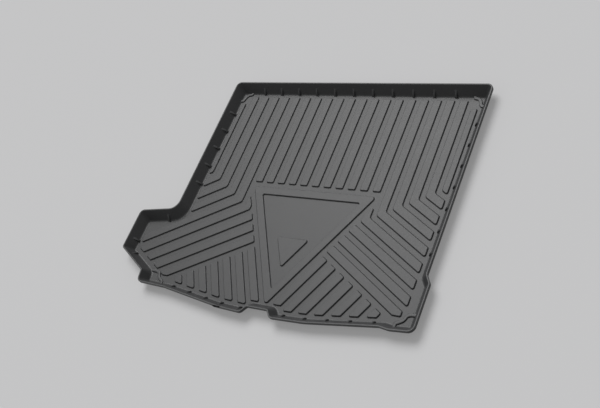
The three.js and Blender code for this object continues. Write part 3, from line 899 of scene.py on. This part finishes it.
points = np.concatenate(skin.points)
middle = (points[:, :2].max(axis=0) + points[:, :2].min(axis=0)) / 2
points = (points - [middle[0], middle[1], 0.0]) / MM_IN_A_METRE
mesh = bpy.data.meshes.new("liner_skin")
mesh.from_pydata(points.tolist(), [], skin.faces)
mesh.validate()
mesh.polygons.foreach_set("use_smooth", np.ones(len(mesh.polygons), bool))
worn = mesh.attributes.new("worn", "FLOAT", "POINT")
worn.data.foreach_set("value", np.concatenate(skin.worn).astype(np.float32))
mesh.normals_split_custom_set_from_vertices(np.concatenate(skin.normals).tolist())
mesh.update()
liner = bpy.data.objects.new("liner_skin", mesh)
bpy.context.scene.collection.objects.link(liner)
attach(liner, "root")
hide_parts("liner")
print("liner faces", len(mesh.polygons), "size", np.ptp(points, axis=0).round(4).tolist())

# %% [markdown]
# ## Rubber
# The real finish is dull dark grey rubber with a fine moulded grain. Colour varies a little,
# edges are slightly paler, partly as wear and partly as a painted highlight, and the grain is a
# bump that stays small enough for close views.
# An image texture could hold the grain, but it would need a layout of the whole skin, and noise
# in object coordinates fits any size.

# %% Node helpers
NOISE_LOW, NOISE_HIGH = 0.3, 0.7


def feed(tree, node, inputs):
    """Each input, by name or number, gets a plain value or a link from a socket."""
    for name, value in inputs.items():
        if isinstance(value, bpy.types.NodeSocket):
            tree.links.new(value, node.inputs[name])
        else:
            node.inputs[name].default_value = value


def add(tree, kind, inputs=None, **settings):
    """A new node of one kind, set up first and then fed."""
    node = tree.nodes.new(kind)
    for name, value in settings.items():
        setattr(node, name, value)
    feed(tree, node, inputs or {})
    return node


def spread(tree, noise, low, high):
    """Noise mostly lies between 0.3 and 0.7; this stretches that part from low to high."""
    return add(tree, "ShaderNodeMapRange", {
        "Value": noise, "From Min": NOISE_LOW, "From Max": NOISE_HIGH,
        "To Min": low, "To Max": high}).outputs[0]


def product(tree, a, b):
    """A value node that gives a times b."""
    return add(tree, "ShaderNodeMath", {0: a, 1: b}, operation="MULTIPLY").outputs[0]


def larger(tree, a, b):
    """A value node that gives the larger of a and b."""
    return add(tree, "ShaderNodeMath", {0: a, 1: b}, operation="MAXIMUM").outputs[0]


# %% Moulded grain
SPECKLE_DETAIL, SPECKLE_ROUGHNESS = 3.0, 0.6


def grain_group():
    """Fine grain from object coordinates: a height for bump and a mask for speckled colour."""
    group = bpy.data.node_groups.new("moulded_grain", "ShaderNodeTree")
    for name, way in (("Fine Scale", "INPUT"), ("Speckle Scale", "INPUT"),
                      ("Height", "OUTPUT"), ("Speckle", "OUTPUT")):
        group.interface.new_socket(name, in_out=way, socket_type="NodeSocketFloat")
    entry, leave = group.nodes.new("NodeGroupInput"), group.nodes.new("NodeGroupOutput")
    place = add(group, "ShaderNodeTexCoord").outputs["Object"]
    cells = add(group, "ShaderNodeTexVoronoi", {
        "Vector": place, "Scale": entry.outputs["Fine Scale"], "Randomness": 1.0},
        feature="SMOOTH_F1")
    speckle = add(group, "ShaderNodeTexNoise", {
        "Vector": place, "Scale": entry.outputs["Speckle Scale"],
        "Detail": SPECKLE_DETAIL, "Roughness": SPECKLE_ROUGHNESS})
    feed(group, leave, {"Height": cells.outputs["Distance"], "Speckle": speckle.outputs["Fac"]})
    return group


moulded_grain = grain_group()
print("nodes in the grain", len(moulded_grain.nodes))

# %% Rubber material
RUBBER_TINT = (0.039, 0.0395, 0.0405)
RUBBER_ROUGHNESS = (0.42, 0.52)
RUBBER_SHINE = 0.38
FINE_SCALE, SPECKLE_SCALE = 900.0, 330.0
CLOUD_SCALE, CLOUD_DETAIL = 5.0, 2.0
SPECKLE_SPREAD, CLOUD_SPREAD = (0.86, 1.14), (0.95, 1.05)
PALER_FOR_WEAR_AND_HIGHLIGHT = 1.25
GRAIN_STRENGTH, GRAIN_DEPTH = 0.35, 0.0004

rubber = bpy.data.materials.new("dark_grey_rubber")
rubber.use_nodes = True
tree = rubber.node_tree
shader = tree.nodes["Principled BSDF"]
grain = add(tree, "ShaderNodeGroup", node_tree=moulded_grain)
feed(tree, grain, {"Fine Scale": FINE_SCALE, "Speckle Scale": SPECKLE_SCALE})
place = add(tree, "ShaderNodeTexCoord").outputs["Object"]
clouds = add(tree, "ShaderNodeTexNoise", {
    "Vector": place, "Scale": CLOUD_SCALE, "Detail": CLOUD_DETAIL})
# Edges are made paler by the attribute below, partly as wear and partly as a painted highlight.
wear_and_highlight_node = add(tree, "ShaderNodeAttribute", attribute_name="worn")
paler_edges_for_wear_and_highlight = add(tree, "ShaderNodeMapRange", {
    "Value": wear_and_highlight_node.outputs["Fac"], "To Min": 1.0, "To Max": PALER_FOR_WEAR_AND_HIGHLIGHT})
shade = product(tree, spread(tree, grain.outputs["Speckle"], *SPECKLE_SPREAD),
                spread(tree, clouds.outputs["Fac"], *CLOUD_SPREAD))
tint = add(tree, "ShaderNodeVectorMath", {
    0: RUBBER_TINT, "Scale": product(tree, shade, paler_edges_for_wear_and_highlight.outputs[0])}, operation="SCALE")
bump = add(tree, "ShaderNodeBump", {
    "Strength": GRAIN_STRENGTH, "Distance": GRAIN_DEPTH, "Height": grain.outputs["Height"]})
feed(tree, shader, {
    "Base Color": tint.outputs[0],
    "Roughness": spread(tree, grain.outputs["Speckle"], *RUBBER_ROUGHNESS),
    "Normal": bump.outputs[0],
    "Specular IOR Level": RUBBER_SHINE})
mesh.materials.append(rubber)
print("nodes in the rubber", len(tree.nodes))

# %% [markdown]
# ## Floor and light
# A plain pale floor carries the liner. It glows a little for the camera and in reflections, so
# it looks pale without throwing more light on the rubber. One soft lamp stands at the back left,
# so that faces which look right or forwards stay dark, and a weak sky fills in. Area lamps would
# light the near side more than the far side, and the photograph shows even light.

# %% Floor
FLOOR_HALF = 40.0
FLOOR_COLOUR = (0.34, 0.34, 0.345, 1.0)
FLOOR_ROUGHNESS, FLOOR_SHINE = 0.9, 0.1
FLOOR_GLOW = 0.2
WHITE = (1.0, 1.0, 1.0, 1.0)

square = np.array([[-1, -1, 0], [1, -1, 0], [1, 1, 0], [-1, 1, 0]]) * FLOOR_HALF
floor_mesh = bpy.data.meshes.new("studio_floor")
floor_mesh.from_pydata(square.tolist(), [], [[0, 1, 2, 3]])
studio_floor = bpy.data.objects.new("studio_floor", floor_mesh)
bpy.context.scene.collection.objects.link(studio_floor)
pale = bpy.data.materials.new("pale_floor")
pale.use_nodes = True
pale_tree = pale.node_tree
rays = add(pale_tree, "ShaderNodeLightPath").outputs
mirrored_too = larger(pale_tree, rays["Is Camera Ray"], rays["Is Glossy Ray"])
seen = larger(pale_tree, mirrored_too, rays["Is Transmission Ray"])
feed(pale_tree, pale_tree.nodes["Principled BSDF"], {
    "Base Color": FLOOR_COLOUR,
    "Roughness": FLOOR_ROUGHNESS,
    "Specular IOR Level": FLOOR_SHINE,
    "Emission Color": WHITE,
    "Emission Strength": product(pale_tree, seen, FLOOR_GLOW)})
floor_mesh.materials.append(pale)
print("the floor is", 2 * FLOOR_HALF, "metres wide")

# %% Light
LAMP_HEADING = np.radians(124.0)
LAMP_RISE = np.radians(52.0)
LAMP_WIDTH = np.radians(38.0)
LAMP_STRENGTH = 2.8
SKY_STRENGTH = 0.33

lamp = bpy.data.lights.new("key", "SUN")
lamp.energy = LAMP_STRENGTH
lamp.angle = LAMP_WIDTH
key = bpy.data.objects.new("key", lamp)
bpy.context.scene.collection.objects.link(key)
towards = np.array([np.cos(LAMP_HEADING) * np.cos(LAMP_RISE),
                    np.sin(LAMP_HEADING) * np.cos(LAMP_RISE), np.sin(LAMP_RISE)])
level = np.cross([0.0, 0.0, 1.0], towards)
level /= np.linalg.norm(level)
key.matrix_world = standing(level, np.cross(towards, level), towards)
world = bpy.data.worlds.new("studio")
world.use_nodes = True
feed(world.node_tree, world.node_tree.nodes["Background"], {
    "Color": WHITE, "Strength": SKY_STRENGTH})
bpy.context.scene.world = world
bpy.context.scene.view_settings.view_transform = "Standard"
print("level light", round(LAMP_STRENGTH * np.sin(LAMP_RISE) / np.pi + SKY_STRENGTH, 3))
